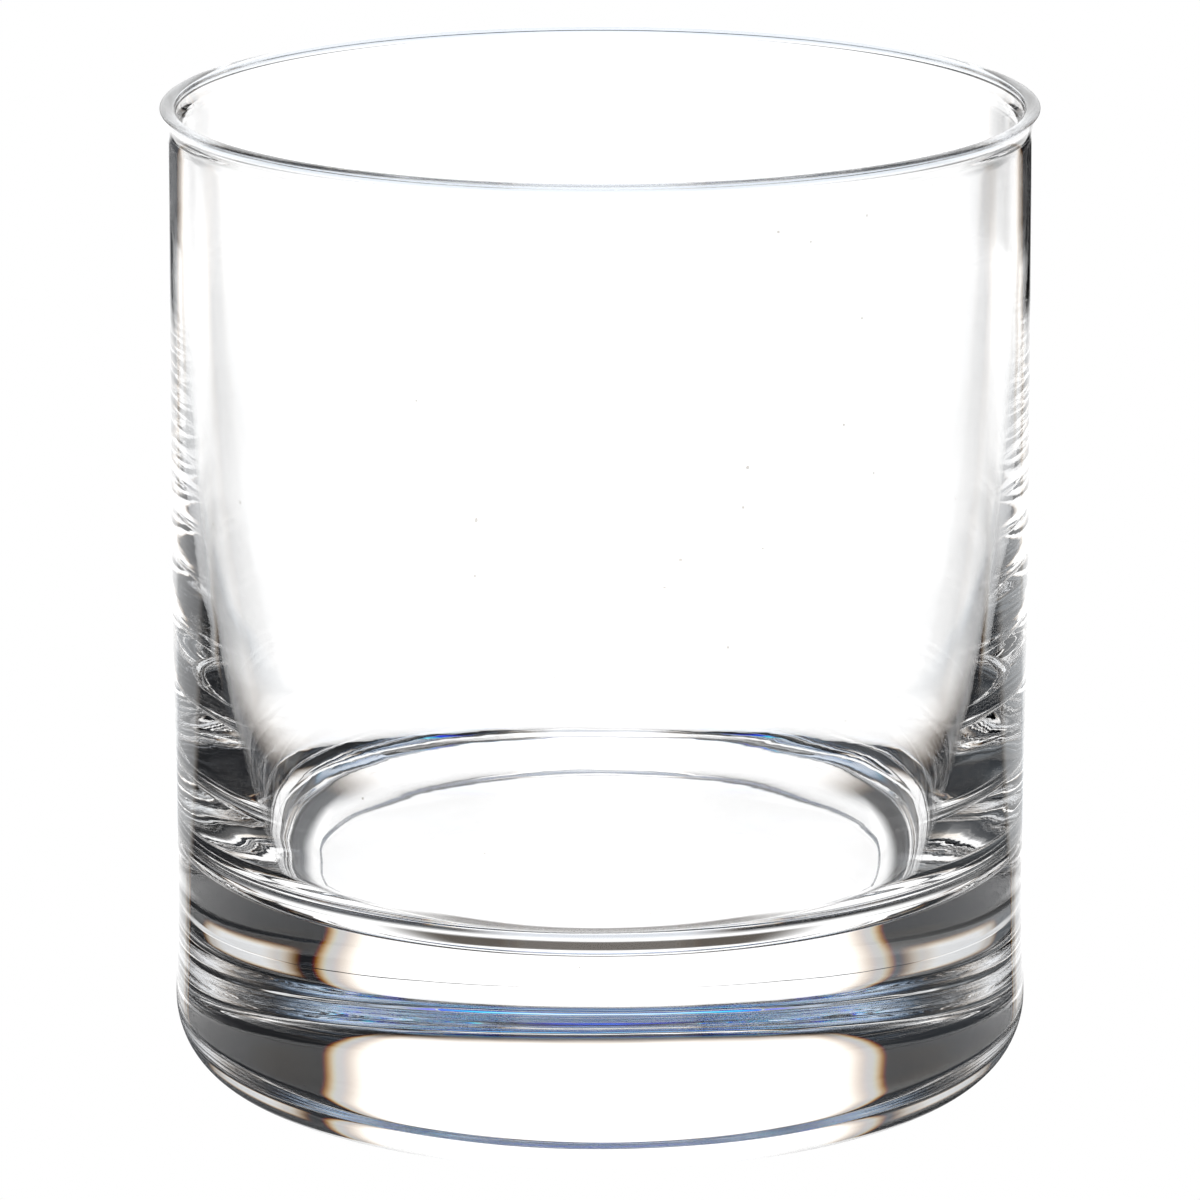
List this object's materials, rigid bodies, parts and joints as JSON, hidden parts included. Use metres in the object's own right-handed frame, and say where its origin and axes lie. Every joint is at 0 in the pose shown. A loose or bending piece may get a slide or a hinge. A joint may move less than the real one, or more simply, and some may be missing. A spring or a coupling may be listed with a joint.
{
  "type": "whiskey tumbler",
  "caption": "Straight-sided drinking tumbler of clear glass, with a thin wall, a rounded rim bead and a thick solid base",
  "frame": {"origin": "middle of the resting plane under the base", "axes": "+Z is the axis of the glass and points up out of the mouth; X and Y are any two radii, as the shape is round"},
  "size_m": [0.086, 0.086, 0.0973],
  "materials": {
    "clear_glass": "clear, colourless, fire-polished"
  },
  "bodies": {
    "root": {"glass_body": "clear_glass"}
  },
  "joints": []
}
